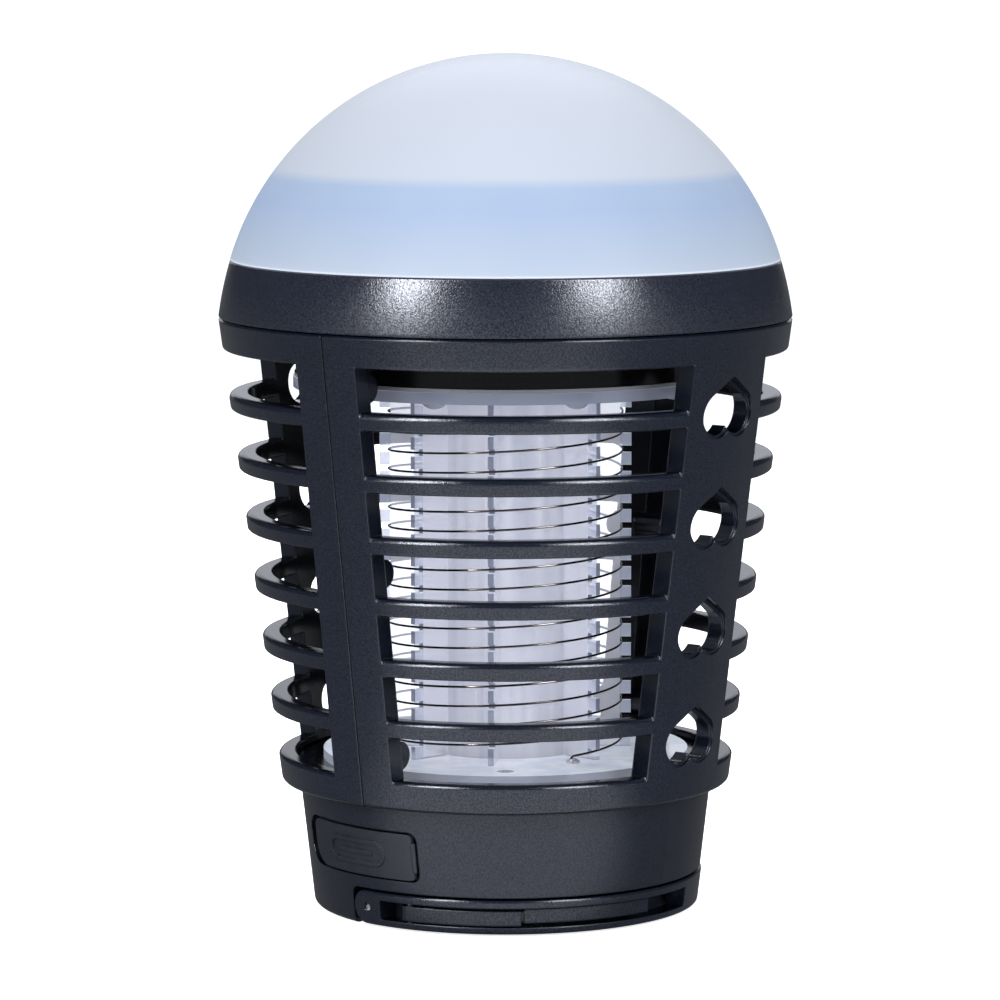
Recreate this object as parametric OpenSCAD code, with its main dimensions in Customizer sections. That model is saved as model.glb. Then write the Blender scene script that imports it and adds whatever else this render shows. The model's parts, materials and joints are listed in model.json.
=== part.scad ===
// Rechargeable lantern bug zapper: a clear coil former wound with two grid wires stands on a
// base cup, inside a two-part louvered cage, under a collar and a translucent lantern dome.
// Origin at the middle of the underside, +Z up. The cage seam lies on the Y axis.

/* [Base] */
// Height of the base cup below the cage
base_h = 19.5; // [19.3:0.1:19.8]
// Radius of the base cup at the floor
foot_r = 30; // [29.8:0.1:30.2]
// Radius of the base cup where it meets the cage
base_top_r = 32.4; // [32.2:0.1:32.4]

/* [Cage] */
// Height of the cage from its lip to the collar seam
cage_h = 72.6; // [72.2:0.1:72.6]
// Radius of the cage at its lip
cage_foot_r = 35; // [35:0.1:35.3]
// Radius of the cage at the collar seam, the widest line of the body
cage_rim_r = 44.5; // [44.5:0.1:44.9]
// Thickness of the cage wall and of its louvers
cage_wall = 3; // [2.8:0.1:3]
// Height of one louver
louver_h = 2.7; // [2.2:0.1:3.2]
// Distance from one louver to the next
louver_pitch = 9.38; // [9.3:0.02:9.4]
// Width of the two plain pillars that carry the seam
seam_pillar_w = 11.2; // [9:0.2:13]
// Width of the two pillars with the heart cut-outs
heart_pillar_w = 18.2; // [16:0.2:20]
// Distance from one heart cut-out to the next
heart_pitch = 16.87; // [16:0.1:17]

/* [Head] */
// Height of the collar
collar_h = 8.7; // [8.5:0.1:9]
// Outer radius of the lantern dome's sphere
dome_r = 44.6; // [44.2:0.1:44.8]
// Wall of the lantern dome
dome_wall = 1.6; // [1.2:0.1:1.8]

/* [Killing grid] */
// Outer radius of the coil former's fins
fin_r = 19.6; // [19:0.1:20]
// Thickness of one fin
fin_t = 0.9; // [0.7:0.1:1.2]
// Radius of the wire winding
winding_r = 18.25; // [18.2:0.01:18.3]
// Diameter of the grid wire
grid_wire_d = 0.35; // [0.25:0.05:0.4]
// Rise of one wire in a full turn; the other wire lies midway
winding_pitch = 6; // [5.9:0.05:6.1]

/* [Hanging bail] */
// Height of the bail's bar
bail_h = 5.4; // [5.2:0.1:5.4]
// Thickness of the bail's bar, measured along the radius
bail_t = 3; // [2.6:0.1:3.2]

/* [Hidden] */

$fn = 96;
far = 60;                 // beyond the widest radius, for cutting tools
edge_r = 0.5;             // small moulded edge radius
louver_edge_r = 0.95;     // larger radius along a louver's upper outer edge
edge_overrun = 0.04;      // how far an edge's cutting arc starts outside the wall
gap = 0.3;                // clearance between pieces that don't touch

// Heights of the main joints between pieces
cage_z = base_h;
collar_z = cage_z + cage_h;
dome_z = collar_z + collar_h;
dome_centre_z = dome_z - 12.8;

// Base cup
core_r = 26.6;            // inner wall behind the bail
cavity_r = 25;            // room inside that wall
recess_top = 6;           // roof of the bail's recess
board_z = 8.5;            // ledge that carries the main board
board_t = 1.6;
board_r = 28.3;
board_top = board_z + board_t;
deck_bottom = 20.9;
deck_top = 22.9;
flange_out_r = 33.8;      // flange that the cage halves clasp
flange_low = 21.2;
column_r = 21.5;          // circle of the base screws
column_angles = [0, 120, 240];

// Charging port and its rubber plug
port_angle = -99;
port_z = 11.7;
plug_w = 22.6;
plug_h = 7.2;
plug_t = 1.4;
finger_notch_w = 2.4;     // the recess runs on past the plug's free end
hinge_r = 0.4;            // rounded bead that the plug turns on
hinge_proud = 0.06;       // how far the bead stands out of the cup's surface
hinge_strap = 1.5;        // length of the thinner strap beside the bead

// Cage
groove_low = 21;
groove_high = 23.1;
top_window_z = 87.1;      // ceiling of the highest window
window_count = 7;
window_h = louver_pitch - louver_h;
seam_gap = 0.2;
boss_r = 2.2;
boss_end = 5;             // how far a screw boss reaches to each side of the seam
boss_floor = 0.8;         // closed end of a boss on the +X half
boss_rows = [0, 3, 6];    // windows that have a screw boss at each seam
heart_count = 4;
heart_first_z = 79.3;     // line of the lobe centres of the highest heart
heart_lobe_r = 3.15;
heart_lobe_x = 2.55;
heart_tip = 5.2;
heart_step = 0.45;        // width of the step round a heart

// Coil former and cell
core_tube_r = 12.7;
core_bore_r = 11.7;
former_z = deck_top;
low_flange_t = 1.5;
low_flange_r = 28.5;
top_flange_z = 81.2;
top_flange_t = 1.7;
top_flange_r = 33;
uv_board_t = 0.6;
uv_board_r = 32.8;
hub_z = top_flange_z + top_flange_t + uv_board_t;
notch_floor_r = 17.9;
notch_h = 1.05;
winding_z = 25.25;        // height of both wires at their lower ends
winding_start = -19;      // direction of wire a's lower end; wire b starts opposite
winding_sweep = 3127;     // degrees that each wire runs round the former
fin_angles = [-142, -98.5, -58.6, -5.5, 38, 81.5, 121.4, 174.5];
uv_led_r = 28;
uv_lens_r = 2.4;
uv_lens_z = 82.3;         // centre of the lens spheres
uv_led_first = -74.5;
cell_r = 9.1;
cell_z = 18.2;
cell_top = 82;
cell_nub_top = 83.2;

// Head
hub_r = 32.6;
hub_wall = 1.8;
spigot_r = 40.8;
spigot_in_r = 39.4;
spigot_low = 88.2;
ledge_z = 97.2;
head_boss_r = 37.4;       // circle of the screws inside the collar
head_boss_angles = [30, 150, 270];
tray_rim_r = 33.4;
tray_rim_z = 114.3;
led_board_r = 32.2;
led_board_top = 114;
led_board_t = 1.1;
lead_r = 10.7;            // circle of the lantern leads beside the cell
lead_angles = [123, 133];

// Bail, hook and button
bail_out_r = foot_r + 0.2;
bail_in_r = bail_out_r - bail_t;
bail_z = 0.3;
pivot_x = -3.2;
pivot_z = bail_z + bail_h / 2;
pin_r = 0.6;
slot_low = 1.4;
slot_high = 4.4;
slot_start = -91;
slot_end = 13.5;
hook_pin_angle = -82.5;
hook_step_angle = -47;
hook_end = -5;
hook_mid_r = bail_out_r - bail_t / 2;
hook_pin_r = 0.5;
button_r = 5;
switch_bottom = 5.3;

function cage_r(z) = cage_foot_r + (z - cage_z) * (cage_rim_r - cage_foot_r) / cage_h;

function cup_r(z) = foot_r + z * (base_top_r - foot_r) / base_h;

function window_ceiling(row) = top_window_z - row * louver_pitch;

function window_middle(row) = window_ceiling(row) - window_h / 2;

function boss_y(z) = cage_r(z) - cage_wall - 0.9;

// Points of an arc from angle a to angle b
function arc(x, y, r, a, b, steps = 5) =
    [for (i = [0:steps]) let (t = a + (b - a) * i / steps) [x + r * cos(t), y + r * sin(t)]];

// Rectangle round the origin; radii run from the lower left corner anticlockwise
function rounded_outline(w, h, radii) = concat(
    arc(radii[0] - w / 2, radii[0] - h / 2, radii[0], 180, 270),
    arc(w / 2 - radii[1], radii[1] - h / 2, radii[1], 270, 360),
    arc(w / 2 - radii[2], h / 2 - radii[2], radii[2], 0, 90),
    arc(radii[3] - w / 2, h / 2 - radii[3], radii[3], 90, 180));

// Height at which a wire crosses a fin for the first time
function first_crossing(angle) =
    winding_z + winding_pitch / 2 * ((angle - winding_start + 720) % 180) / 180;

module ring(outer, inner, low, high) {
    difference() {
        translate([0, 0, low]) cylinder(r = outer, h = high - low);
        translate([0, 0, low - 1]) cylinder(r = inner, h = high - low + 2);
    }
}

// Children repeated at a radius in several directions
module around(angles, radius) {
    for (a = angles) rotate([0, 0, a]) translate([radius, 0, 0]) children();
}

// A 2D outline, drawn in Y and Z, pushed outwards along +X
module along_x(start, depth) {
    translate([start, 0, 0]) rotate([90, 0, 90]) linear_extrude(depth) children();
}

// Pan-head screw, head down at the origin, shank up +Z
module screw(shank, head_radius = 1.6, head_h = 1, shank_radius = 0.8) {
    difference() {
        union() {
            cylinder(r = head_radius, h = head_h, $fn = 48);
            cylinder(r = shank_radius, h = head_h + shank, $fn = 32);
        }
        for (turn = [0, 90]) rotate([0, 0, turn]) {
            translate([-head_radius * 0.6, -0.18, -0.1]) cube([head_radius * 1.2, 0.36, 0.5]);
        }
    }
}

// Round wire wound on a circle, swept ring by ring
module wound_wire(radius, wire_r, low, start, sweep, pitch, sides, steps_per_turn) {
    steps = ceil(sweep / 360 * steps_per_turn);
    centres = [for (i = [0:steps]) let (a = sweep * i / steps) [start + a, low + pitch * a / 360]];
    points = [for (c = centres, s = [0:sides - 1])
        let (t = 360 * s / sides, r = radius + wire_r * cos(t))
        [r * cos(c[0]), r * sin(c[0]), c[1] + wire_r * sin(t)]];
    skin = [for (i = [0:steps - 1], s = [0:sides - 1])
        let (next = (s + 1) % sides)
        [i * sides + s, i * sides + next, (i + 1) * sides + next, (i + 1) * sides + s]];
    first_cap = [for (s = [sides - 1:-1:0]) s];
    last_cap = [for (s = [0:sides - 1]) steps * sides + s];
    polyhedron(points, concat([first_cap, last_cap], skin), convexity = 10);
}

// ---------------------------------------------------------------- head

module dome_diffuser() {
    color("aliceblue") {
        difference() {
            translate([0, 0, dome_centre_z]) sphere(r = dome_r, $fn = 160);
            translate([0, 0, dome_centre_z]) sphere(r = dome_r - dome_wall, $fn = 160);
            translate([0, 0, dome_z - 2 * far]) cylinder(r = far, h = 2 * far);
        }
        ring(41.5, 40, ledge_z + 0.4, dome_z + 0.8);
    }
}

module dome_seal() {
    color("dimgray") ring(41.4, 39.9, ledge_z, ledge_z + 0.4);
}

module collar_section() {
    polygon([[cage_rim_r - 0.35, collar_z], [cage_rim_r, collar_z + 0.4],
             [cage_rim_r - 1.55, dome_z - 0.4], [cage_rim_r - 1.9, dome_z],
             [41.7, dome_z], [41.7, ledge_z], [spigot_in_r, ledge_z],
             [spigot_in_r, spigot_low], [spigot_r, spigot_low], [spigot_r, 88.9],
             [42.3, 88.9], [42.3, 90.3], [spigot_r, 90.3], [spigot_r, collar_z]]);
}

module collar_ring() {
    color("darkslategray") difference() {
        union() {
            rotate_extrude() collar_section();
            around(head_boss_angles, head_boss_r) {
                translate([0, 0, 90.2]) cylinder(r = 2.4, h = ledge_z - 90.2);
            }
        }
        around(head_boss_angles, head_boss_r) translate([0, 0, 90]) cylinder(r = 0.85, h = 10);
    }
}

module tray_section() {
    polygon([[0, 111.3], [31.8, 111.3], [34.1, ledge_z + 1.4], [34.1, ledge_z], [39.2, ledge_z],
             [39.2, ledge_z + 1.4], [35.6, ledge_z + 1.4], [tray_rim_r, tray_rim_z],
             [32.4, tray_rim_z], [32.4, led_board_top - led_board_t],
             [0, led_board_top - led_board_t]]);
}

module led_tray() {
    color("white") difference() {
        rotate_extrude() tray_section();
        around(head_boss_angles, head_boss_r) translate([0, 0, 90]) cylinder(r = 1, h = 10);
        around(lead_angles, lead_r) translate([0, 0, 110]) cylinder(r = 0.7, h = 5);
    }
}

module tray_screws() {
    color("silver") around(head_boss_angles, head_boss_r) {
        translate([0, 0, ledge_z + 2.4]) mirror([0, 0, 1]) screw(4);
    }
}

module led_board() {
    color("ivory") translate([0, 0, led_board_top - led_board_t]) {
        cylinder(r = led_board_r, h = led_board_t);
    }
}

module lantern_leds() {
    color("lightyellow") {
        around([0:45:315], 22) led_package();
        around([22.5:90:292.5], 10) led_package();
    }
}

module led_package() {
    translate([-1.4, -1.75, led_board_top]) cube([2.8, 3.5, 0.7]);
}

module head_deck_section() {
    polygon([[0, hub_z], [hub_r, hub_z], [hub_r, spigot_low], [39.1, spigot_low],
             [39.1, 90.2], [hub_r - hub_wall, 90.2], [hub_r - hub_wall, hub_z + 1.5],
             [0, hub_z + 1.5]]);
}

module head_deck() {
    color("#22252b") difference() {
        rotate_extrude() head_deck_section();
        around(head_boss_angles, head_boss_r) translate([0, 0, 86]) cylinder(r = 1, h = 10);
        around(lead_angles, lead_r) translate([0, 0, 80]) cylinder(r = 0.7, h = 10);
    }
}

module deck_screws() {
    color("silver") around(head_boss_angles, head_boss_r) {
        translate([0, 0, spigot_low - 1]) screw(4.4);
    }
}

// ---------------------------------------------------------------- grid

module uv_board() {
    color("gainsboro") ring(uv_board_r, 11.6, top_flange_z + top_flange_t, hub_z);
}

module uv_leds() {
    color("mediumpurple") around([for (i = [0:7]) uv_led_first + 45 * i], uv_led_r) {
        difference() {
            translate([0, 0, uv_lens_z]) sphere(r = uv_lens_r, $fn = 64);
            translate([-3, -3, top_flange_z + top_flange_t]) cube([6, 6, 3]);
        }
    }
}

module battery_contact() {
    color("gold") translate([0, 0, cell_nub_top]) cylinder(r = 5, h = hub_z - cell_nub_top);
}

module battery_cell() {
    color("steelblue") {
        translate([0, 0, cell_z]) cylinder(r = cell_r, h = cell_top - cell_z);
        translate([0, 0, cell_top]) cylinder(r = 2.8, h = cell_nub_top - cell_top);
    }
}

module reflector_sleeve() {
    color("white") ring(9.5, 9.2, deck_bottom, top_flange_z);
}

module battery_spring() {
    color("silver") {
        wound_wire(5, 0.4, board_top + 0.45, 0, 1440, 1.8, 8, 16);
    }
}

module fin(angle) {
    first = first_crossing(angle);
    crossings = floor((winding_z + winding_sweep / 360 * winding_pitch - first) / 3);
    rotate([0, 0, angle]) difference() {
        translate([core_tube_r - 0.3, -fin_t / 2, former_z + low_flange_t - 0.2]) {
            cube([fin_r - core_tube_r + 0.3, fin_t, top_flange_z - former_z - low_flange_t + 0.4]);
        }
        for (i = [0:crossings]) {
            translate([notch_floor_r, -fin_t, first + i * winding_pitch / 2 - notch_h / 2]) {
                cube([3, 2 * fin_t, notch_h]);
            }
        }
    }
}

module coil_former() {
    color("lightcyan") difference() {
        union() {
            ring(core_tube_r, core_bore_r, former_z, top_flange_z + top_flange_t);
            ring(low_flange_r, core_bore_r, former_z, former_z + low_flange_t);
            ring(top_flange_r, core_bore_r, top_flange_z, top_flange_z + top_flange_t);
            for (angle = fin_angles) fin(angle);
        }
        around([for (i = [0:7]) uv_led_first + 45 * i], uv_led_r) {
            translate([0, 0, top_flange_z - 1]) cylinder(r = uv_lens_r + 0.15, h = 4, $fn = 48);
        }
        around([-52, 38, 128, 218], 24) {
            translate([0, 0, former_z - 1]) cylinder(r = 1.3, h = 4, $fn = 48);
        }
        around([winding_start, winding_start + 180], 19) {
            translate([0, 0, former_z - 1]) cylinder(r = 0.75, h = 4, $fn = 32);
        }
    }
}

module grid_wire(start) {
    color("silver") wound_wire(winding_r, grid_wire_d / 2, winding_z, start + 2,
                               winding_sweep - 2, winding_pitch, 4, 24);
}

module grid_wire_a() {
    grid_wire(winding_start);
}

module grid_wire_b() {
    grid_wire(winding_start + 180);
}

// Rivets through the lower flange that feed the two wires
module wire_terminals() {
    color("goldenrod") around([winding_start, winding_start + 180], 19) {
        translate([0, 0, former_z]) cylinder(r = 0.65, h = 2.1, $fn = 32);
        translate([0, 0, former_z + low_flange_t]) cylinder(r = 1.05, h = 0.4, $fn = 32);
    }
}

// ---------------------------------------------------------------- cage

module cage_section() {
    polygon(concat(
        [[32.6, cage_z]],
        arc(cage_foot_r - 0.85, cage_z + 0.9, 0.9, -90, 0),
        [[cage_rim_r, collar_z - 0.5], [cage_rim_r - 0.35, collar_z - 0.15],
         [41.4, collar_z - 0.15], [41.4, 90.5], [42.6, 90.5], [42.6, 88.7],
         [cage_r(88.7) - cage_wall, 88.7], [cage_r(groove_high) - cage_wall, groove_high],
         [34.05, groove_high], [34.05, groove_low], [32.6, groove_low]]));
}

// Gap between two louvers, with the rounded edges of the louvers above and below it
module window_section(row) {
    ceiling = window_ceiling(row) + edge_r;
    sill = window_ceiling(row) - window_h;
    low_in = sill - edge_r;
    low_out = sill - louver_edge_r;
    inner = edge_r - edge_overrun - cage_wall;
    polygon(concat(
        [[20, low_in]],
        arc(cage_r(low_in) + inner, low_in, edge_r, 180, 90, 4),
        arc(cage_r(low_out) + edge_overrun - louver_edge_r, low_out, louver_edge_r, 90, 0, 7),
        [[far, low_out], [far, ceiling]],
        arc(cage_r(ceiling) + edge_overrun - edge_r, ceiling, edge_r, 0, -90, 4),
        arc(cage_r(ceiling) + inner, ceiling, edge_r, -90, -180, 4),
        [[20, ceiling]]));
}

module windows() {
    intersection() {
        for (row = [0:window_count - 1]) rotate_extrude() window_section(row);
        for (side = [-1, 1]) {
            translate([seam_pillar_w / 2, side > 0 ? heart_pillar_w / 2 : -far, 0]) {
                cube([far, far - heart_pillar_w / 2, 100]);
            }
        }
    }
}

// Heart with its tip up; grow moves the outline outwards
module heart_outline(grow) {
    lobe = heart_lobe_r + grow;
    tip = heart_tip + 1.2 * grow;
    reach = norm([tip, heart_lobe_x]);
    touch = atan2(tip, -heart_lobe_x) - acos(lobe / reach);
    side_x = heart_lobe_x + lobe * cos(touch);
    side_y = lobe * sin(touch);
    for (side = [-1, 1]) translate([side * heart_lobe_x, 0]) circle(r = lobe, $fn = 48);
    polygon([[0, tip], [side_x, side_y], [heart_lobe_x, 0],
             [-heart_lobe_x, 0], [-side_x, side_y]]);
}

module heart_cuts() {
    for (i = [0:heart_count - 1]) {
        z = heart_first_z - i * heart_pitch;
        translate([0, 0, z]) along_x(25, 25) heart_outline(0);
        translate([0, 0, z]) along_x(cage_r(z) - 0.9, 5) heart_outline(heart_step);
    }
}

// Half of the cage on the +X side; screw_hole_r is the hole in its screw bosses
module cage_half(screw_hole_r, hole_end) {
    difference() {
        union() {
            difference() {
                intersection() {
                    rotate_extrude() cage_section();
                    translate([seam_gap / 2, -far, 0]) cube([far, 2 * far, 100]);
                }
                windows();
                heart_cuts();
            }
            at_seam_bosses() translate([0, 0, seam_gap / 2]) {
                cylinder(r = boss_r, h = boss_end - seam_gap / 2, $fn = 48);
            }
        }
        at_seam_bosses() translate([0, 0, -1]) {
            cylinder(r = screw_hole_r, h = hole_end + 1, $fn = 32);
        }
    }
}

// Children placed at every seam boss, with +Z turned to +X
module at_seam_bosses() {
    for (row = boss_rows, side = [-1, 1]) {
        z = window_middle(row);
        translate([0, side * boss_y(z), z]) rotate([0, 90, 0]) children();
    }
}

module cage_half_front() {
    color("#2b2e36") cage_half(0.85, boss_end - boss_floor);
}

module cage_half_rear() {
    color("#2b2e36") rotate([0, 0, 180]) difference() {
        cage_half(1, boss_end + 1);
        at_seam_bosses() translate([0, 0, boss_end]) cylinder(r = 1.8, h = 1.3, $fn = 48);
    }
}

module cage_screws() {
    color("silver") rotate([0, 0, 180]) at_seam_bosses() {
        translate([0, 0, boss_end + 1]) mirror([0, 0, 1]) screw(2 * (boss_end - boss_floor), 1.6, 1);
    }
}

// ---------------------------------------------------------------- base

module cup_section() {
    polygon(concat(
        [[0, 0]],
        arc(foot_r - 1, 1, 1, -90, 0),
        [[cup_r(base_h) - 0.3, base_h - 0.4], [cup_r(base_h) - 0.5, base_h - 0.1],
         [32.2, flange_low], [flange_out_r, flange_low], [flange_out_r, deck_top],
         [0, deck_top]]));
}

module cup_cavity_section() {
    polygon([[0, -1], [cavity_r, -1], [cavity_r, board_z], [28.6, board_z],
             [29.4, deck_bottom], [0, deck_bottom]]);
}

// Room for the bail: a groove behind the rim with a rounded end beyond each pivot
module bail_recess() {
    end_x = pivot_x - 3.2;
    intersection() {
        translate([0, far, 0]) rotate([90, 0, 0]) linear_extrude(2 * far) {
            polygon(concat([[far, -1], [far, recess_top]],
                           arc(end_x + 1.2, recess_top - 1.2, 1.2, 90, 180), [[end_x, -1]]));
        }
        ring(far, core_r, -2, recess_top + 1);
    }
}

// Cone shell between two depths below the cup's surface
module cup_shell(depth_out, depth_in, low, high) {
    rotate_extrude() polygon([[cup_r(low) - depth_in, low], [cup_r(low) - depth_out, low],
                              [cup_r(high) - depth_out, high], [cup_r(high) - depth_in, high]]);
}

module port_cut() {
    recess_w = plug_w + 2 * gap + finger_notch_w;
    intersection() {
        cup_shell(-2, plug_t + 0.25, port_z - plug_h, port_z + plug_h);
        rotate([0, 0, port_angle]) translate([0, -finger_notch_w / 2, port_z]) along_x(20, 20) {
            polygon(rounded_outline(recess_w, plug_h + 2 * gap, [3.6, 1.4, 1.4, 3]));
        }
    }
    rotate([0, 0, port_angle]) translate([0, 0, port_z]) along_x(25, 10) {
        polygon(rounded_outline(9.2, 3.4, [1.6, 1.6, 1.6, 1.6]));
    }
}

module base_cup() {
    color("#2b2e36") difference() {
        union() {
            difference() {
                rotate_extrude() cup_section();
                rotate_extrude() cup_cavity_section();
            }
            around(column_angles, column_r) {
                translate([0, 0, 2.5]) cylinder(r = 2.4, h = deck_bottom - 2, $fn = 48);
            }
        }
        bail_recess();
        port_cut();
        around(column_angles, column_r) translate([0, 0, 2]) cylinder(r = 0.85, h = 9, $fn = 32);
        translate([0, 0, deck_bottom - 1]) cylinder(r = 11.5, h = 4);
        around([winding_start, winding_start + 180], 19) {
            translate([0, 0, deck_bottom - 1]) cylinder(r = 0.8, h = 4, $fn = 32);
        }
        for (side = [-1, 1]) translate([pivot_x, side * 23, pivot_z]) rotate([-90 * side, 0, 0]) {
            cylinder(r = pin_r + 0.02, h = 5, $fn = 32);
        }
    }
}

module base_plate() {
    color("#22252b") difference() {
        translate([0, 0, 0.5]) cylinder(r = cavity_r - 0.2, h = 2);
        cylinder(r = button_r + 0.25, h = 5);
        around(column_angles, column_r) {
            cylinder(r = 1, h = 5, $fn = 32);
            cylinder(r = 1.9, h = 1.5, $fn = 48);
        }
    }
}

module base_screws() {
    color("silver") around(column_angles, column_r) translate([0, 0, 0.5]) screw(8);
}

module main_board() {
    color("seagreen") difference() {
        translate([0, 0, board_z]) cylinder(r = board_r, h = board_t);
        around(column_angles, column_r) translate([0, 0, 5]) cylinder(r = 2.7, h = 10, $fn = 48);
    }
}

module usb_socket() {
    color("silver") rotate([0, 0, port_angle]) translate([0, 0, port_z]) {
        difference() {
            along_x(21.2, 7.2) polygon(rounded_outline(8.94, 3.2, [1.5, 1.5, 1.5, 1.5]));
            along_x(22.2, 7) polygon(rounded_outline(8.34, 2.56, [1.2, 1.2, 1.2, 1.2]));
        }
        translate([22, -3.3, -0.35]) cube([5.2, 6.6, 0.7]);
    }
}

module hv_transformer() {
    color("darkorange") rotate([0, 0, 60]) translate([17.5, 0, board_top]) {
        translate([-4.5, -6.5, 0]) cube([9, 13, 1.2]);
        translate([-4.5, -6.5, 7.2]) cube([9, 13, 1.2]);
        translate([0, 0, 1]) cylinder(r = 4.2, h = 6.4);
    }
}

module hv_capacitor() {
    color("firebrick") rotate([0, 0, 205]) translate([18, 0, board_top]) {
        translate([-2.5, -5.5, 0.4]) cube([5, 11, 8]);
        for (side = [-1, 1]) translate([0, side * 4, 0]) cylinder(r = 0.4, h = 1, $fn = 24);
    }
}

module control_chip() {
    color("black") rotate([0, 0, 300]) translate([17, 0, board_top]) {
        translate([-1.95, -2.45, 0.15]) cube([3.9, 4.9, 1.4]);
        for (i = [0:3]) translate([-3, -2.1 + 1.27 * i, 0]) cube([6, 0.4, 0.4]);
    }
}

module tact_switch() {
    color("dimgray") difference() {
        translate([-3, -3, switch_bottom]) cube([6, 6, board_z - switch_bottom]);
        translate([0, 0, switch_bottom - 1]) cylinder(r = 1.8, h = 3.4, $fn = 48);
    }
}

module switch_plunger() {
    color("saddlebrown") translate([0, 0, 4.7]) cylinder(r = 1.7, h = 2, $fn = 48);
}

module mode_button() {
    color("#3a3d45") {
        translate([0, 0, 0.9]) cylinder(r = button_r, h = 2);
        translate([0, 0, 2.8]) cylinder(r = 6.4, h = 0.8);
        translate([0, 0, 3.4]) cylinder(r = 2.4, h = 1.3);
    }
}

module grid_leads() {
    color("red") around([winding_start, winding_start + 180], 19) {
        translate([0, 0, board_top]) cylinder(r = 0.5, h = former_z - board_top, $fn = 32);
    }
}

module lantern_leads() {
    lead_h = led_board_top - led_board_t - board_top;
    color("red") around(lead_angles, lead_r) {
        translate([0, 0, board_top]) cylinder(r = 0.45, h = lead_h, $fn = 32);
    }
}

// Children placed on the plug's hinge, with +Z turned up the cup's surface
module at_plug_hinge() {
    side = plug_w / 2 - hinge_r;
    out = sqrt(pow(cup_r(port_z), 2) - pow(side, 2)) - hinge_r + hinge_proud;
    lean = atan((base_top_r - foot_r) / base_h);
    rotate([0, 0, port_angle]) translate([out, side, port_z]) rotate([0, lean, 0]) children();
}

module port_plug() {
    color("#20242d") {
        difference() {
            intersection() {
                cup_shell(0, plug_t, port_z - plug_h, port_z + plug_h);
                rotate([0, 0, port_angle]) translate([0, 0, port_z]) along_x(20, 20) {
                    polygon(rounded_outline(plug_w, plug_h, [3.5, 1.2, 1.2, 1.6]));
                }
            }
            at_plug_hinge() {
                translate([-far, 0, -far]) cube([2 * far, far, 2 * far]);
                translate([-far, -hinge_strap, -far]) {
                    cube([far - hinge_r + hinge_proud, far, 2 * far]);
                }
            }
        }
        at_plug_hinge() cylinder(r = hinge_r, h = plug_h - 2.6, center = true, $fn = 32);
        plug_mark();
        rotate([0, 0, port_angle]) translate([0, 0, port_z]) along_x(27.8, 2.9) {
            polygon(rounded_outline(7.9, 2.1, [1, 1, 1, 1]));
        }
    }
}

// Raised outline of a charging port, with a bar in it
module plug_mark() {
    intersection() {
        cup_shell(-0.25, 0.4, port_z - plug_h, port_z + plug_h);
        rotate([0, 0, port_angle]) translate([0, 0, port_z]) along_x(20, 20) {
            difference() {
                polygon(rounded_outline(12.4, 4, [2, 2, 2, 2]));
                polygon(rounded_outline(11.2, 2.8, [1.4, 1.4, 1.4, 1.4]));
            }
            square([7.4, 0.7], center = true);
        }
    }
}

// ---------------------------------------------------------------- bail

module bail_section() {
    low = bail_z;
    high = bail_z + bail_h;
    soft = 0.45;
    lean = 0.55;
    polygon(concat(
        arc(bail_in_r + soft, low + soft, soft, 180, 270, 3),
        arc(bail_out_r - soft, low + soft, soft, 270, 360, 3),
        arc(bail_out_r + lean - soft, high - soft, soft, 0, 90, 3),
        arc(bail_in_r + soft, high - soft, soft, 90, 180, 3)));
}

module bail() {
    color("#2b2e36") difference() {
        intersection() {
            rotate_extrude() bail_section();
            union() {
                translate([pivot_x, -far, -1]) cube([far, 2 * far, 20]);
                translate([pivot_x, far, pivot_z]) rotate([90, 0, 0]) {
                    cylinder(r = bail_h / 2, h = 2 * far);
                }
            }
        }
        rotate([0, 0, slot_start]) rotate_extrude(angle = slot_end - slot_start) {
            translate([bail_in_r - 2, slot_low]) square([bail_t + 4, slot_high - slot_low]);
        }
        translate([pivot_x, far, pivot_z]) rotate([90, 0, 0]) {
            cylinder(r = pin_r + 0.06, h = 2 * far, $fn = 32);
        }
        rotate([0, 0, hook_pin_angle]) translate([hook_mid_r, 0, 0.8]) {
            cylinder(r = hook_pin_r + 0.02, h = 4.3, $fn = 32);
        }
    }
}

module bail_pins() {
    color("silver") for (side = [-1, 1]) {
        translate([pivot_x, side * 25.2, pivot_z]) rotate([-90 * side, 0, 0]) {
            cylinder(r = pin_r, h = 4.6, $fn = 32);
        }
    }
}

// Curved stretch of the hook between two directions
module hook_bar(from_angle, to_angle, outer, low, high) {
    rotate([0, 0, from_angle]) rotate_extrude(angle = to_angle - from_angle) {
        translate([bail_in_r + 0.2, low]) square([outer - bail_in_r - 0.2, high - low]);
    }
}

module swing_hook() {
    outer = bail_out_r - 0.15;
    color("#2b2e36") difference() {
        union() {
            hook_bar(hook_pin_angle, hook_step_angle - 0.5, outer, slot_low + 0.2, slot_high - 0.5);
            hook_bar(hook_step_angle + 0.5, hook_end, outer - 0.2, slot_low + 0.6, slot_high - 0.2);
            hook_bar(hook_step_angle - 2, hook_step_angle + 2, outer - 0.6, slot_low + 0.7,
                     slot_high - 0.6);
            rotate([0, 0, hook_pin_angle]) translate([hook_mid_r, 0, slot_low + 0.2]) {
                cylinder(r = 1.3, h = slot_high - slot_low - 0.7, $fn = 48);
            }
        }
        rotate([0, 0, hook_pin_angle]) translate([hook_mid_r, 0, 0]) {
            cylinder(r = hook_pin_r + 0.06, h = 8, $fn = 32);
        }
    }
}

module hook_pin() {
    color("silver") rotate([0, 0, hook_pin_angle]) translate([hook_mid_r, 0, 0.85]) {
        cylinder(r = hook_pin_r, h = 4.2, $fn = 32);
    }
}

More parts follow.
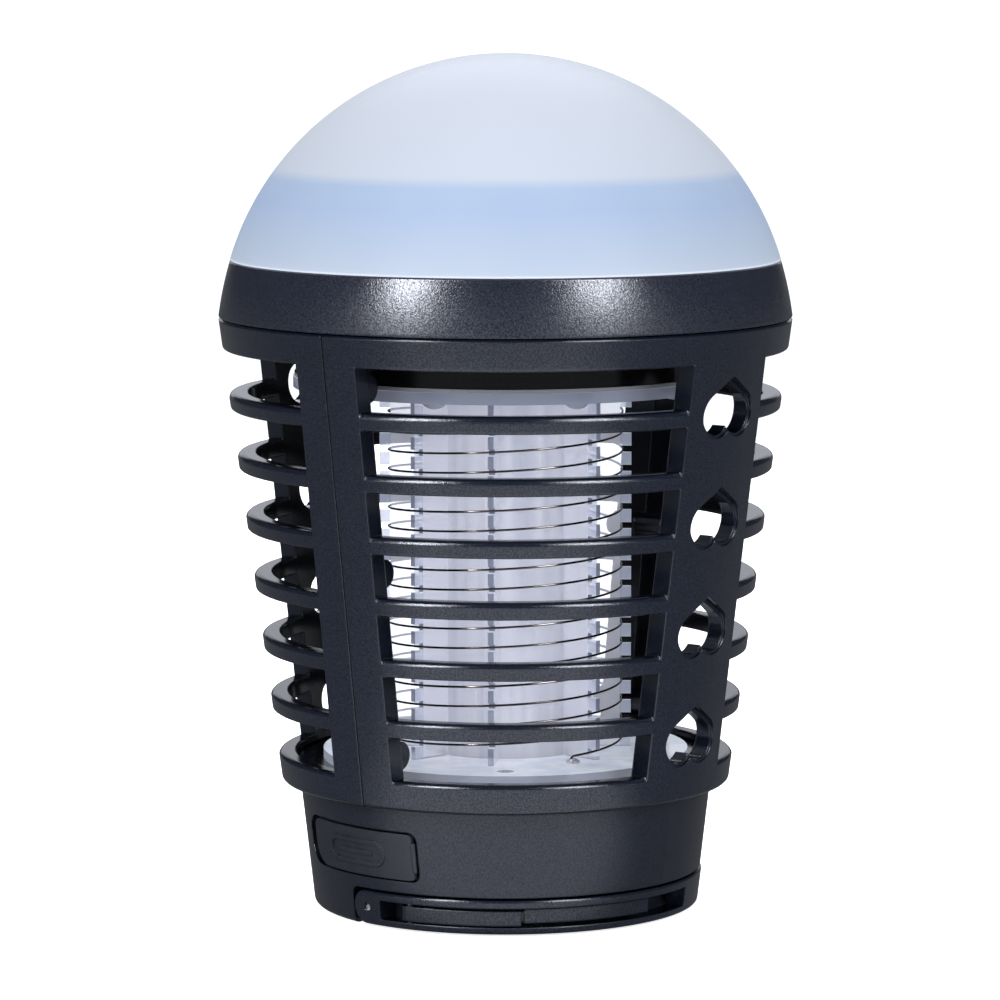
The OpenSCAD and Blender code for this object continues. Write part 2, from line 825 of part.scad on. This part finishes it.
dome_diffuser();
dome_seal();
collar_ring();
led_tray();
led_board();
lantern_leds();
tray_screws();
head_deck();
deck_screws();
uv_board();
uv_leds();
battery_contact();
battery_cell();
reflector_sleeve();
battery_spring();
coil_former();
grid_wire_a();
grid_wire_b();
wire_terminals();
cage_half_front();
cage_half_rear();
cage_screws();
base_cup();
base_plate();
base_screws();
main_board();
usb_socket();
hv_transformer();
hv_capacitor();
control_chip();
tact_switch();
switch_plunger();
mode_button();
grid_leads();
lantern_leads();
port_plug();
bail();
bail_pins();
swing_hook();
hook_pin();
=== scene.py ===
"""Looks of the lantern bug zapper: finishes for every CAD node, a smooth dome and wound wires."""

import json
import math

import bmesh
import bpy
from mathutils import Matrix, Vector


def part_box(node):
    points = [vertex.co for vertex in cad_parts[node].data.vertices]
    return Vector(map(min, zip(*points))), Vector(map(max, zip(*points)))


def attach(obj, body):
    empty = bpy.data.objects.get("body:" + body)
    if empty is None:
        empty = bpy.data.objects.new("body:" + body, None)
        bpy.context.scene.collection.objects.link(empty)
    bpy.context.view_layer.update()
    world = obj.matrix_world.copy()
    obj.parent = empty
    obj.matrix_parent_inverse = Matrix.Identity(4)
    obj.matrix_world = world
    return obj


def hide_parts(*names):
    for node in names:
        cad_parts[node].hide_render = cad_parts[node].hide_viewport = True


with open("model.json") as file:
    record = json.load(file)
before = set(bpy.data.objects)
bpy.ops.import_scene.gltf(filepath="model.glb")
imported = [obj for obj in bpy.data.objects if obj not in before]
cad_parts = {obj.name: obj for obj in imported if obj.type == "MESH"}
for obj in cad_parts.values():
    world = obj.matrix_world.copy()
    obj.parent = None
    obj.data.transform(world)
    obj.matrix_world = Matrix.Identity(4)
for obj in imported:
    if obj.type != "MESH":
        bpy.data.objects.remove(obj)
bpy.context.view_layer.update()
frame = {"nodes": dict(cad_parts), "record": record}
nodes = frame["nodes"]
MM = 0.001
SHARP_ANGLE = math.radians(35)


# ---------------------------------------------------------------- mesh helpers


def top_of(node):
    """Height of a CAD node's highest point."""
    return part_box(node)[1].z


def bottom_of(node):
    """Height of a CAD node's lowest point."""
    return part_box(node)[0].z


def radius_of(node):
    """Outer radius of a round CAD node on the Z axis."""
    low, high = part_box(node)
    return (high.y - low.y) / 2


def new_piece(name, points, faces, body="housing"):
    """A smooth-shaded mesh object of those points and faces that rides on a body."""
    mesh = bpy.data.meshes.new(name)
    mesh.from_pydata(points, [], faces)
    built = bmesh.new()
    built.from_mesh(mesh)
    bmesh.ops.remove_doubles(built, verts=built.verts, dist=0.001 * MM)
    bmesh.ops.recalc_face_normals(built, faces=built.faces)
    built.to_mesh(mesh)
    built.free()
    mesh.shade_smooth()
    mesh.set_sharp_from_angle(angle=SHARP_ANGLE)
    piece = bpy.data.objects.new(name, mesh)
    bpy.context.scene.collection.objects.link(piece)
    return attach(piece, body)


def arc(centre_r, centre_z, radius, start, end, steps):
    """Points (r, z) of an arc between two angles in degrees."""
    angles = [math.radians(start + (end - start) * i / steps) for i in range(steps + 1)]
    return [(centre_r + radius * math.cos(a), centre_z + radius * math.sin(a)) for a in angles]


def turned(outline, sides=256):
    """Points and faces of a closed (r, z) outline turned about the Z axis."""
    points = []
    for i in range(sides):
        turn = 2 * math.pi * i / sides
        points += [(r * math.cos(turn), r * math.sin(turn), z) for r, z in outline]
    count = len(outline)
    faces = []
    for i in range(sides):
        here, there = i * count, (i + 1) % sides * count
        for k in range(count):
            after = (k + 1) % count
            faces.append((here + k, there + k, there + after, here + after))
    return points, faces


def tube(path, radius, sides=10):
    """Points and faces of a round tube along a path that never runs upright."""
    points, faces = [], []
    for i, place in enumerate(path):
        along = (path[min(i + 1, len(path) - 1)] - path[max(i - 1, 0)]).normalized()
        across = along.cross(Vector((0, 0, 1))).normalized()
        upward = across.cross(along)
        for k in range(sides):
            turn = 2 * math.pi * k / sides
            points.append(place + radius * (math.cos(turn) * across + math.sin(turn) * upward))
    for i in range(len(path) - 1):
        for k in range(sides):
            after = (k + 1) % sides
            row = i * sides
            faces.append((row + k, row + after, row + sides + after, row + sides + k))
    faces.append(tuple(range(sides)))
    faces.append(tuple(range(len(points) - 1, len(points) - 1 - sides, -1)))
    return points, faces


# ---------------------------------------------------------------- finishes


class Finish:
    """A material round one Principled shader, with its textures in the piece's own space."""

    def __init__(self, name, **sockets):
        self.material = bpy.data.materials.new(name)
        self.material.use_nodes = True
        self.tree = self.material.node_tree
        self.shader = self.tree.nodes["Principled BSDF"]
        coordinates = self.node("ShaderNodeTexCoord")
        self.place = coordinates.outputs["Object"]
        self.normal = coordinates.outputs["Normal"]
        for label, value in sockets.items():
            self.shader.inputs[label.replace("_", " ")].default_value = value

    def node(self, kind, inputs=None, **settings):
        """A new texture node; inputs are sockets to link or values to set."""
        made = self.tree.nodes.new(kind)
        for key, value in settings.items():
            setattr(made, key, value)
        for key, value in (inputs or {}).items():
            if isinstance(value, bpy.types.NodeSocket):
                self.tree.links.new(value, made.inputs[key])
            else:
                made.inputs[key].default_value = value
        return made

    def noise(self, scale, detail, place=None):
        """Noise from 0 to 1; scale is in cells per metre."""
        made = self.node("ShaderNodeTexNoise",
                         {"Vector": place or self.place, "Scale": scale, "Detail": detail})
        return made.outputs["Fac"]

    def between(self, factor, low, high, start=0.25, end=0.75):
        """factor from start to end, turned into low to high."""
        made = self.node("ShaderNodeMapRange",
                         {"Value": factor, "From Min": start, "From Max": end,
                          "To Min": low, "To Max": high})
        return made.outputs["Result"]

    def maths(self, operation, first, second):
        """Result of a Math node on two values."""
        return self.node("ShaderNodeMath", {0: first, 1: second}, operation=operation).outputs[0]

    def vector_maths(self, operation, first, second, result="Vector"):
        """Result of a Vector Math node on two vectors."""
        made = self.node("ShaderNodeVectorMath", {0: first, 1: second}, operation=operation)
        return made.outputs[result]

    def height_of(self, vector):
        """The Z part of a vector."""
        return self.node("ShaderNodeSeparateXYZ", {"Vector": vector}).outputs["Z"]

    def mixed(self, factor, first, second):
        """Colour between first and second."""
        made = self.node("ShaderNodeMix", {"Factor": factor}, data_type="RGBA")
        for socket, value in (("A", first), ("B", second)):
            target = [s for s in made.inputs if s.name == socket and s.type == "RGBA"][0]
            if isinstance(value, bpy.types.NodeSocket):
                self.tree.links.new(value, target)
            else:
                target.default_value = value
        return [s for s in made.outputs if s.type == "RGBA"][0]

    def ramp(self, factor, stops):
        """Colour from stops of (position, colour)."""
        made = self.node("ShaderNodeValToRGB", {"Fac": factor})
        elements = made.color_ramp.elements
        while len(elements) < len(stops):
            elements.new(1)
        for element, (position, colour) in zip(elements, stops):
            element.position = position
            element.color = colour
        return made.outputs["Color"]

    def off_axis(self):
        """Vector from the Z axis straight out to the shaded point."""
        return self.vector_maths("MULTIPLY", self.place, (1, 1, 0))

    def axis_distance(self):
        """Distance of the shaded point from the Z axis."""
        return self.node("ShaderNodeVectorMath", {0: self.off_axis()},
                         operation="LENGTH").outputs["Value"]

    def outwardness(self):
        """1 where the surface faces away from the Z axis, -1 where it faces the axis."""
        radial = self.node("ShaderNodeVectorMath", {0: self.off_axis()}, operation="NORMALIZE")
        return self.vector_maths("DOT_PRODUCT", radial.outputs["Vector"], self.normal, "Value")

    def relief(self, height, depth, edge):
        """Rounds the piece's edges by edge metres and adds a relief of that depth."""
        soft = self.node("ShaderNodeBevel", {"Radius": edge}, samples=6)
        bump = self.node("ShaderNodeBump", {"Height": height, "Distance": depth, "Strength": 1,
                                            "Normal": soft.outputs["Normal"]})
        self.drive("Normal", bump.outputs["Normal"])

    def drive(self, socket, value):
        """Links a texture into one of the shader's sockets."""
        self.tree.links.new(value, self.shader.inputs[socket])


def rgb(red, green, blue):
    """Linear colour from 0-255 display values."""
    def linear(value):
        share = value / 255
        return share / 12.92 if share <= 0.04045 else ((share + 0.055) / 1.055) ** 2.4
    return (linear(red), linear(green), linear(blue), 1)


def grey(level):
    """Linear grey of that level."""
    return (level, level, level, 1)


def shade(colour, factor):
    """A colour made lighter or darker by a factor."""
    return tuple(min(1, part * factor) for part in colour[:3]) + (1,)


def plain_finish(name, colour, roughness, grain=2200, depth=0.01 * MM, edge=0.15 * MM):
    """Moulded or machined surface: cloudy colour, worn roughness and a fine grain."""
    finish = Finish(name)
    cloud = finish.noise(140, 4)
    finish.drive("Base Color", finish.mixed(cloud, shade(colour, 0.88), shade(colour, 1.12)))
    finish.drive("Roughness", finish.between(finish.noise(420, 5), roughness * 0.8,
                                             roughness * 1.2))
    finish.relief(finish.noise(grain, 2), depth, edge)
    return finish.material


def spark_finish(name, colour, rough, glossy, contrast, grain=4300, edge=0.35 * MM, **sockets):
    """Charcoal plastic: spark-textured outside and glossier side walls, with painted shade that
    darkens the inner faces and the flat ledges.
    """
    finish = Finish(name, **sockets)
    outwardness = finish.outwardness()
    upwardness = finish.height_of(finish.normal)
    outside = finish.between(outwardness, 0, 1, 0.7, 0.88)
    inside = finish.between(outwardness, 1, 0, -0.8, -0.4)
    ledge = finish.between(finish.maths("ABSOLUTE", upwardness, 0), 0, 1, 0.75, 0.95)
    pits = finish.noise(grain, 2)
    speck = finish.between(pits, 0, 1, 0.36, 0.64)

    skin = finish.mixed(speck, shade(colour, 1 - 0.5 * contrast), shade(colour, 1 + contrast))
    skin = finish.mixed(finish.noise(90, 4), skin, shade(colour, 1.1))
    # Painted shade: flat ledges are darkened to a fifth of the colour and inner faces to three
    # tenths, standing in for the shade that falls on them.
    side_walls_and_painted_shade = finish.mixed(ledge, shade(colour, 0.9), shade(colour, 0.2))
    side_walls_and_painted_shade = finish.mixed(inside, side_walls_and_painted_shade, shade(colour, 0.3))
    finish.drive("Base Color", finish.mixed(outside, side_walls_and_painted_shade, skin))

    upper_edge = finish.between(upwardness, rough, 0.45 * rough, 0.12, 0.3)
    gloss = finish.node("ShaderNodeMix", {"Factor": outside, "A": glossy, "B": upper_edge})
    worn = finish.between(finish.noise(260, 5), 0.94, 1.06)
    finish.drive("Roughness", finish.maths("MULTIPLY", gloss.outputs[0], worn))

    glint = finish.mixed(speck, grey(1 - 0.7 * contrast), grey(1))
    sheen = finish.mixed(ledge, grey(0.9), grey(0.25))
    finish.drive("Specular Tint", finish.mixed(outside, sheen, glint))
    finish.relief(finish.maths("MULTIPLY", pits, outside), 0.03 * MM, edge)
    return finish.material


def dome_finish():
    """Frosted lantern plastic, painted with light: a faint glow, a painted highlight on the lip,
    painted shade below the rim of the white drum inside and painted light above it.
    """
    # Painted glow: the dome gives off a faint light in its own colours.
    finish = Finish("frosted_dome", IOR=1.46, Specular_IOR_Level=0.06, Emission_Strength=0.4)
    low, high = top_of("collar_ring"), top_of("dome_diffuser")
    share = finish.between(finish.height_of(finish.place), 0, 1, low, high)
    drum = (top_of("led_tray") - low) / (high - low)
    # Painted light by height: a bright painted highlight at the lip, painted shade on the band
    # below the drum's rim and painted light above it.
    painted_light_tone = finish.ramp(share, [(0.0, rgb(215, 221, 228)), (0.012, rgb(144, 152, 164)),
                               (0.12, rgb(136, 147, 161)), (drum * 0.7, rgb(126, 140, 161)),
                               (drum - 0.02, rgb(127, 141, 160)),
                               (drum + 0.025, rgb(150, 155, 162)), (1.0, rgb(153, 156, 162))])
    cloud = finish.between(finish.noise(45, 3), 0, 0.12)
    shown = finish.mixed(cloud, painted_light_tone, rgb(165, 170, 176))
    # Base colour and emission both carry the painted light and shade.
    finish.drive("Base Color", shown)
    finish.drive("Emission Color", shown)
    finish.drive("Roughness", finish.between(finish.noise(600, 4), 0.42, 0.56))
    finish.relief(finish.noise(2600, 2), 0.006 * MM, 0.2 * MM)
    return finish.material


def clear_colour(finish, facing, teeth, upward, rim):
    """Colour of the clear plastic: pale, with bluer teeth and rims, slants darkened by painted
    reflection, and painted top light on upward faces.
    """
    pale = finish.mixed(finish.noise(70, 4), rgb(236, 236, 240), rgb(248, 248, 252))
    # Painted reflection: faces seen at a slant are darkened towards blue-grey.
    pale = finish.mixed(finish.between(facing, 0, 1, 0.45, 0.95), pale, rgb(120, 126, 148))
    pale = finish.mixed(teeth, pale, rgb(176, 184, 204))
    # Painted top light: upward faces are lighter, clouded with bluer patches.
    clouds = finish.between(finish.noise(190, 3), 0, 1, 0.38, 0.62)
    painted_top_light = finish.mixed(clouds, rgb(196, 207, 230), rgb(246, 249, 254))
    pale = finish.mixed(upward, pale, painted_top_light)
    return finish.mixed(rim, pale, rgb(132, 137, 154))


def clear_finish():
    """Clear moulded plastic; its outer rims and the faces seen at a slant are denser, and it
    glows with painted light, most on upward faces.
    """
    finish = Finish("clear_plastic", IOR=1.45)
    core_r = 13.5 * MM
    teeth_r = 17.95 * MM
    distance = finish.axis_distance()
    beyond_core = finish.between(distance, 0, 1, core_r - 0.3 * MM, core_r + 0.3 * MM)
    teeth = finish.between(distance, 0, 1, teeth_r - 0.15 * MM, teeth_r + 0.15 * MM)
    outside = finish.between(finish.outwardness(), 0, 1, 0.8, 0.95)
    lower_flange_z = bottom_of("coil_former") + 2 * MM
    above_flange = finish.between(finish.height_of(finish.place), 0.25, 1,
                                  lower_flange_z, lower_flange_z + 1 * MM)
    rim = finish.maths("MULTIPLY", finish.maths("MULTIPLY", outside, beyond_core), above_flange)
    facing = finish.node("ShaderNodeLayerWeight", {"Blend": 0.35}).outputs["Facing"]
    upwardness = finish.height_of(finish.normal)
    upward = finish.between(upwardness, 0, 1, 0.8, 0.95)

    finish.drive("Base Color", clear_colour(finish, facing, teeth, upward, rim))
    # Painted glow: a pale emission, stronger on upward faces as painted top light, and dim on the
    # rims.
    finish.drive("Emission Color", finish.mixed(rim, (0.85, 0.9, 1, 1), (0.16, 0.17, 0.22, 1)))
    finish.drive("Emission Strength", finish.between(upwardness, 0.18, 0.42, 0.8, 0.95))
    finish.drive("Roughness", finish.between(finish.noise(350, 4), 0.08, 0.2))
    finish.relief(finish.noise(1200, 2), 0.01 * MM, 0.12 * MM)

    slant = finish.between(facing, 0.34, 0.9, 0.3, 0.95)
    dense = finish.maths("MAXIMUM", slant, finish.maths("MULTIPLY", teeth, 0.5))
    solid = finish.maths("MAXIMUM", dense, finish.maths("MULTIPLY", rim, 0.92))
    clear = finish.node("ShaderNodeBsdfTransparent", {"Color": rgb(250, 250, 253)})
    blend = finish.node("ShaderNodeMixShader", {0: solid, 1: clear.outputs[0],
                                                2: finish.shader.outputs[0]})
    output = finish.tree.nodes["Material Output"]
    finish.tree.links.new(blend.outputs[0], output.inputs["Surface"])
    return finish.material


def sleeve_finish():
    """White core sleeve with a faint painted glow and painted upright streaks of what the clear
    tube round it shows.
    """
    # Painted glow: a faint white emission, as if lit through the clear plastic.
    finish = Finish("core_sleeve", Emission_Color=(0.95, 0.95, 1, 1), Emission_Strength=0.15)
    # Painted streaks: upright light and darker bands stand in for what shows through the clear
    # tube.
    streaks = finish.noise(420, 3, finish.vector_maths("MULTIPLY", finish.place, (1, 1, 0.03)))
    bright = finish.between(streaks, 0, 1, 0.38, 0.62)
    finish.drive("Base Color", finish.mixed(bright, rgb(166, 173, 196), rgb(255, 254, 252)))
    finish.drive("Roughness", finish.between(streaks, 0.35, 0.55))
    finish.relief(finish.noise(1500, 2), 0.01 * MM, 0.15 * MM)
    return finish.material


def metal_finish(name, colour, roughness, brush=900, edge=0.08 * MM):
    """Bare metal with fine lines drawn round it."""
    finish = Finish(name, Metallic=1.0)
    lines = finish.noise(brush, 3, finish.vector_maths("MULTIPLY", finish.place, (1, 1, 9)))
    finish.drive("Base Color", finish.mixed(lines, shade(colour, 0.8), shade(colour, 1.1)))
    finish.drive("Roughness", finish.between(lines, roughness * 0.7, roughness * 1.4))
    finish.relief(lines, 0.004 * MM, edge)
    return finish.material


CHARCOAL = rgb(19, 23, 33)
COLLAR_CHARCOAL = rgb(28, 31, 40)

finishes = {
    "shell": spark_finish("charcoal_shell", CHARCOAL, 0.31, 0.14, 0.7, Specular_IOR_Level=0.6),
    "base": spark_finish("charcoal_base", CHARCOAL, 0.36, 0.14, 0.5, Specular_IOR_Level=0.5),
    "collar": spark_finish("charcoal_collar", COLLAR_CHARCOAL, 0.35, 0.2, 1, 3900, 0.3 * MM,
                           Specular_IOR_Level=0.8),
    "inner_black": plain_finish("inner_black", rgb(14, 14, 17), 0.2),
    "tray": plain_finish("white_tray", rgb(232, 236, 242), 0.4),
    "seal": plain_finish("seal_rubber", rgb(40, 41, 44), 0.7, depth=0.03 * MM),
    "rubber_plug": plain_finish("plug_rubber", rgb(20, 24, 34), 0.55, 3200, 0.03 * MM),
    "white_board": plain_finish("white_board", rgb(150, 150, 156), 0.35),
    "green_board": plain_finish("green_board", rgb(24, 84, 52), 0.35, edge=0.1 * MM),
    "led_body": plain_finish("led_body", rgb(238, 232, 190), 0.3, edge=0.1 * MM),
    "uv_lens": plain_finish("uv_lens", rgb(176, 178, 190), 0.1, depth=0.002 * MM),
    "sleeve": sleeve_finish(),
    "cell_wrap": plain_finish("cell_wrap", rgb(96, 130, 190), 0.3),
    "steel": metal_finish("steel", (0.72, 0.72, 0.74, 1), 0.42),
    "brass": metal_finish("brass", (0.72, 0.53, 0.26, 1), 0.3),
    "ferrite": plain_finish("ferrite", rgb(60, 58, 60), 0.6, 2600, 0.03 * MM),
    "film_capacitor": plain_finish("film_capacitor", rgb(150, 40, 34), 0.35),
    "chip": plain_finish("chip", rgb(24, 24, 26), 0.5, 3400, 0.02 * MM, 0.06 * MM),
    "switch": plain_finish("switch", rgb(52, 50, 50), 0.4),
    "wire_cover": plain_finish("wire_cover", rgb(150, 26, 22), 0.45, edge=0.05 * MM),
    "clear": clear_finish(),
}
wire_metal = metal_finish("wire_steel", (0.11, 0.095, 0.085, 1), 0.17, 700, 0.03 * MM)


def paint(piece, material):
    """Puts one material on a piece through its object's slots, so its mesh stays as it is."""
    if not piece.material_slots:
        piece.data.materials.append(material)
    for entry in piece.material_slots:
        entry.link = "OBJECT"
        entry.material = material


for part in frame["record"]["subparts"]:
    if part["material_slot"] in finishes:
        paint(nodes[part["node"]], finishes[part["material_slot"]])
paint(nodes["base_cup"], finishes["base"])
paint(nodes["wire_terminals"], finishes["steel"])


# ---------------------------------------------------------------- dome


def dome_outline():
    """Section of the dome: a spherical cap with a rounded lip, and its skirt in the collar."""
    lip_z = top_of("collar_ring")
    cap_h = top_of("dome_diffuser") - lip_z
    lip_r = radius_of("dome_diffuser")
    sphere_r = (lip_r ** 2 + cap_h ** 2) / (2 * cap_h)
    centre_z = lip_z + cap_h - sphere_r
    lip_soft = 0.3 * MM
    skirt_z = bottom_of("dome_diffuser")
    skirt_r = 41.5 * MM
    skirt_inner_r = 40 * MM
    inner_r = sphere_r - 1.6 * MM
    inner_lip_z = lip_z + 0.8 * MM
    tilt = math.degrees(math.asin((lip_z + lip_soft - centre_z) / sphere_r))
    inner_tilt = math.degrees(math.asin((inner_lip_z - centre_z) / inner_r))
    outline = arc(0, centre_z, sphere_r, 90, tilt, 80)
    outline += arc(lip_r - lip_soft, lip_z + lip_soft, lip_soft, 0, -90, 5)[1:]
    outline += [(skirt_r, lip_z), (skirt_r, skirt_z)]
    outline += [(skirt_inner_r, skirt_z), (skirt_inner_r, inner_lip_z)]
    outline += arc(0, centre_z, inner_r, inner_tilt, 90, 60)
    return outline


dome = new_piece("lantern_dome", *turned(dome_outline()))
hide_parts("dome_diffuser")
paint(dome, dome_finish())


# ---------------------------------------------------------------- collar


def bowed(start, end, bow, steps):
    """Points from start to end on a shallow curve that bulges by bow."""
    (r0, z0), (r1, z1) = start, end
    length = math.hypot(r1 - r0, z1 - z0)
    normal = ((z1 - z0) / length, (r0 - r1) / length)
    shares = [i / steps for i in range(steps + 1)]
    return [(r0 + (r1 - r0) * t + normal[0] * bow * 4 * t * (1 - t),
             z0 + (z1 - z0) * t + normal[1] * bow * 4 * t * (1 - t)) for t in shares]


def collar_outline():
    """Section of the collar: a softly bowed flank between two small rounded edges."""
    low_z = top_of("cage_half_front") + 0.15 * MM
    high_z = top_of("collar_ring")
    seal_z = bottom_of("dome_seal")
    spigot_z = bottom_of("collar_ring")
    wide_r = radius_of("collar_ring")
    narrow_r = wide_r - 1.9 * MM
    mouth_r = 41.7 * MM
    spigot_r = 40.8 * MM
    bore_r = 39.4 * MM
    low_soft = 0.15 * MM
    high_soft = 0.45 * MM
    flank_start = (wide_r, low_z + low_soft)
    flank_end = (narrow_r + 0.2 * MM, high_z - high_soft)
    outline = arc(wide_r - low_soft, low_z + low_soft, low_soft, -80, -5, 4)
    outline += bowed(flank_start, flank_end, 0.16 * MM, 24)
    outline += arc(narrow_r - 0.25 * MM, high_z - high_soft, high_soft, 25, 90, 5)
    outline += [(mouth_r, high_z), (mouth_r, seal_z), (bore_r, seal_z)]
    outline += [(bore_r, spigot_z), (spigot_r, spigot_z), (spigot_r, low_z)]
    return outline


collar = new_piece("collar_shell", *turned(collar_outline(), 320))
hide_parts("collar_ring")
paint(collar, finishes["collar"])


# ---------------------------------------------------------------- grid wires


WIRE_RADIUS = 0.175 * MM
COIL_SWEEP = 3125      # degrees that each wire turns about the former
STEPS_PER_TURN = 72
LEAD_IN_ANGLE = 3.5    # degrees before the first turn where a wire leaves its terminal
LEAD_IN_OUT = 0.75 * MM
LEAD_IN_DROP = 0.45 * MM


def on_circle(angle, radius, z):
    """Point at that angle in degrees about the Z axis."""
    turn = math.radians(angle)
    return Vector((radius * math.cos(turn), radius * math.sin(turn), z))


def coil_path(first_angle, low_z, radius, pitch):
    """Helix with its lower end led down and outwards into the terminal."""
    path = []
    for share in (0, 0.25, 0.5, 0.75):
        left = 1 - share
        path.append(on_circle(first_angle - LEAD_IN_ANGLE * left, radius + LEAD_IN_OUT * left,
                              low_z - LEAD_IN_DROP * left ** 2))
    steps = int(COIL_SWEEP / 360 * STEPS_PER_TURN)
    for i in range(steps + 1):
        turned_by = COIL_SWEEP * i / steps
        path.append(on_circle(first_angle + turned_by, radius, low_z + pitch * turned_by / 360))
    return path


def wound_wire(name, node, first_angle):
    """One bare wire wound over the height of its CAD node."""
    low_z = bottom_of(node) + WIRE_RADIUS
    high_z = top_of(node) - WIRE_RADIUS
    pitch = (high_z - low_z) / COIL_SWEEP * 360
    path = coil_path(first_angle, low_z, radius_of(node) - WIRE_RADIUS, pitch)
    piece = new_piece(name, *tube(path, WIRE_RADIUS))
    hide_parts(node)
    paint(piece, wire_metal)


wound_wire("grid_coil_a", "grid_wire_a", -17)
wound_wire("grid_coil_b", "grid_wire_b", 163)


# ---------------------------------------------------------------- floor, lights and camera

CAMERA_AZIMUTH = 38
CAMERA_ELEVATION = 6.7
CAMERA_DISTANCE = 0.7926
LIGHT_TINT = (0.88, 0.91, 1)
AIM = Vector((0, 0, 63.14 * MM))
FLOOR_RADIUS = 0.7
FLOOR_SIDES = 128
# Corners of the card: metres towards the camera, and metres to the side
CARD_CORNERS = ((0.034, -0.06), (0.034, 0.05), (0.28, 0.2), (0.28, -0.22))
# Strength of the surround for each kind of ray
SEEN_BY_CAMERA = 1.05
SCATTERED = 0.6
MIRRORED_ABOVE = 0.04
MIRRORED_BELOW = 0.2


def direction(azimuth, elevation):
    """Unit vector towards that side of the object; azimuth 0 is its front."""
    a, e = math.radians(azimuth), math.radians(elevation)
    return Vector((math.sin(a) * math.cos(e), -math.cos(a) * math.cos(e), math.sin(e)))


def aim_from(holder, azimuth, elevation, distance):
    """Puts a lamp or camera on that side of the object and turns it to the aim point."""
    towards = direction(azimuth, elevation)
    holder.location = AIM + distance * towards
    holder.rotation_euler = towards.to_track_quat("Z", "Y").to_euler()


def soft_light(name, azimuth, elevation, distance, size, power, mirrored=True, scattered=True):
    """Softbox aimed at the object, for what its surfaces mirror, what they scatter, or both.

    The azimuth is counted from the camera, and size is its width and height.
    """
    lamp = bpy.data.lights.new(name, "AREA")
    lamp.shape = "RECTANGLE"
    lamp.size, lamp.size_y = size
    lamp.energy = power
    lamp.color = LIGHT_TINT
    holder = bpy.data.objects.new(name, lamp)
    bpy.context.scene.collection.objects.link(holder)
    aim_from(holder, CAMERA_AZIMUTH + azimuth, elevation, distance)
    holder.visible_camera = False
    holder.visible_glossy = mirrored
    holder.visible_diffuse = scattered


def flat_stage(name, points, material):
    """A flat stage panel with those corners."""
    mesh = bpy.data.meshes.new(name)
    mesh.from_pydata(points, [], [tuple(range(len(points)))])
    panel = bpy.data.objects.new(name, mesh)
    bpy.context.scene.collection.objects.link(panel)
    mesh.materials.append(material)
    return panel


def studio_paper(name, glow):
    """White paper that glows a little by itself."""
    finish = Finish(name, Roughness=0.9, Specular_IOR_Level=0.1,
                    Emission_Color=(1, 1, 1, 1), Emission_Strength=glow)
    finish.drive("Base Color", finish.mixed(finish.noise(30, 3), (0.9, 0.9, 0.91, 1),
                                            (0.93, 0.93, 0.94, 1)))
    return finish.material


def pale_floor():
    """White paper for the camera, with a small bright card before the object."""
    rim = [on_circle(360 * i / FLOOR_SIDES, FLOOR_RADIUS, 0) for i in range(FLOOR_SIDES)]
    floor = flat_stage("studio_floor", rim, studio_paper("studio_paper", 0.75))
    floor.visible_glossy = False
    floor.visible_diffuse = False
    front = direction(CAMERA_AZIMUTH, 0)
    side = Vector((-front.y, front.x, 0))
    above_floor = Vector((0, 0, 0.1 * MM))
    corners = [front * near + side * off + above_floor for near, off in CARD_CORNERS]
    card = flat_stage("front_card", corners, studio_paper("card_paper", 0.25))
    card.visible_camera = False


def studio_world():
    """White surround that surfaces scatter well, but mirror mostly below the horizon."""
    world = bpy.data.worlds.new("studio_world")
    world.use_nodes = True
    world.cycles.sampling_method = "NONE"
    tree = world.node_tree

    def value(operation, first, second, third=0.0):
        """Result of a Math node on sockets or plain numbers."""
        made = tree.nodes.new("ShaderNodeMath")
        made.operation = operation
        for socket, given in zip(made.inputs, (first, second, third)):
            if isinstance(given, float):
                socket.default_value = given
            else:
                tree.links.new(given, socket)
        return made.outputs[0]

    towards = tree.nodes.new("ShaderNodeTexCoord").outputs["Generated"]
    height = tree.nodes.new("ShaderNodeSeparateXYZ")
    tree.links.new(towards, height.inputs[0])
    below = value("LESS_THAN", height.outputs["Z"], 0.0)
    mirrored = value("MULTIPLY_ADD", below, MIRRORED_BELOW - MIRRORED_ABOVE, MIRRORED_ABOVE)
    rays = tree.nodes.new("ShaderNodeLightPath").outputs
    strength = value("MULTIPLY_ADD", rays["Is Diffuse Ray"], SCATTERED, mirrored)
    strength = value("MULTIPLY_ADD", rays["Is Camera Ray"], SEEN_BY_CAMERA, strength)
    background = tree.nodes["Background"]
    background.inputs["Color"].default_value = (0.93, 0.96, 1, 1)
    tree.links.new(strength, background.inputs["Strength"])
    bpy.context.scene.world = world


def photo_camera():
    """Long lens at the photograph's angle."""
    lens = bpy.data.cameras.new("camera")
    lens.sensor_width = 36
    lens.lens = 183
    lens.shift_x = -0.0055
    lens.clip_start = 0.05
    lens.clip_end = 60
    holder = bpy.data.objects.new("camera", lens)
    bpy.context.scene.collection.objects.link(holder)
    aim_from(holder, CAMERA_AZIMUTH, CAMERA_ELEVATION, CAMERA_DISTANCE)
    bpy.context.scene.camera = holder


pale_floor()
studio_world()
photo_camera()
# Azimuth and elevation in degrees, distance and size in metres, power in watts
soft_light("key_left", -41, 35, 1.1, (0.27, 0.7), 20, scattered=False)
soft_light("key_right", 40.5, 35, 1.1, (0.32, 0.7), 16.5, scattered=False)
soft_light("wash_left", -50, 24, 1.2, (0.8, 0.8), 9.5, mirrored=False)
soft_light("wash_right", 50, 24, 1.2, (0.8, 0.8), 9, mirrored=False)
soft_light("back_glow", 180, 9, 1.2, (0.8, 0.3), 0.55, scattered=False)
soft_light("overhead", 0, 74, 1.2, (0.6, 0.5), 8, mirrored=False)
soft_light("back_soft", 180, 38, 1.2, (0.7, 0.5), 5)
bpy.context.scene.view_settings.view_transform = "Standard"
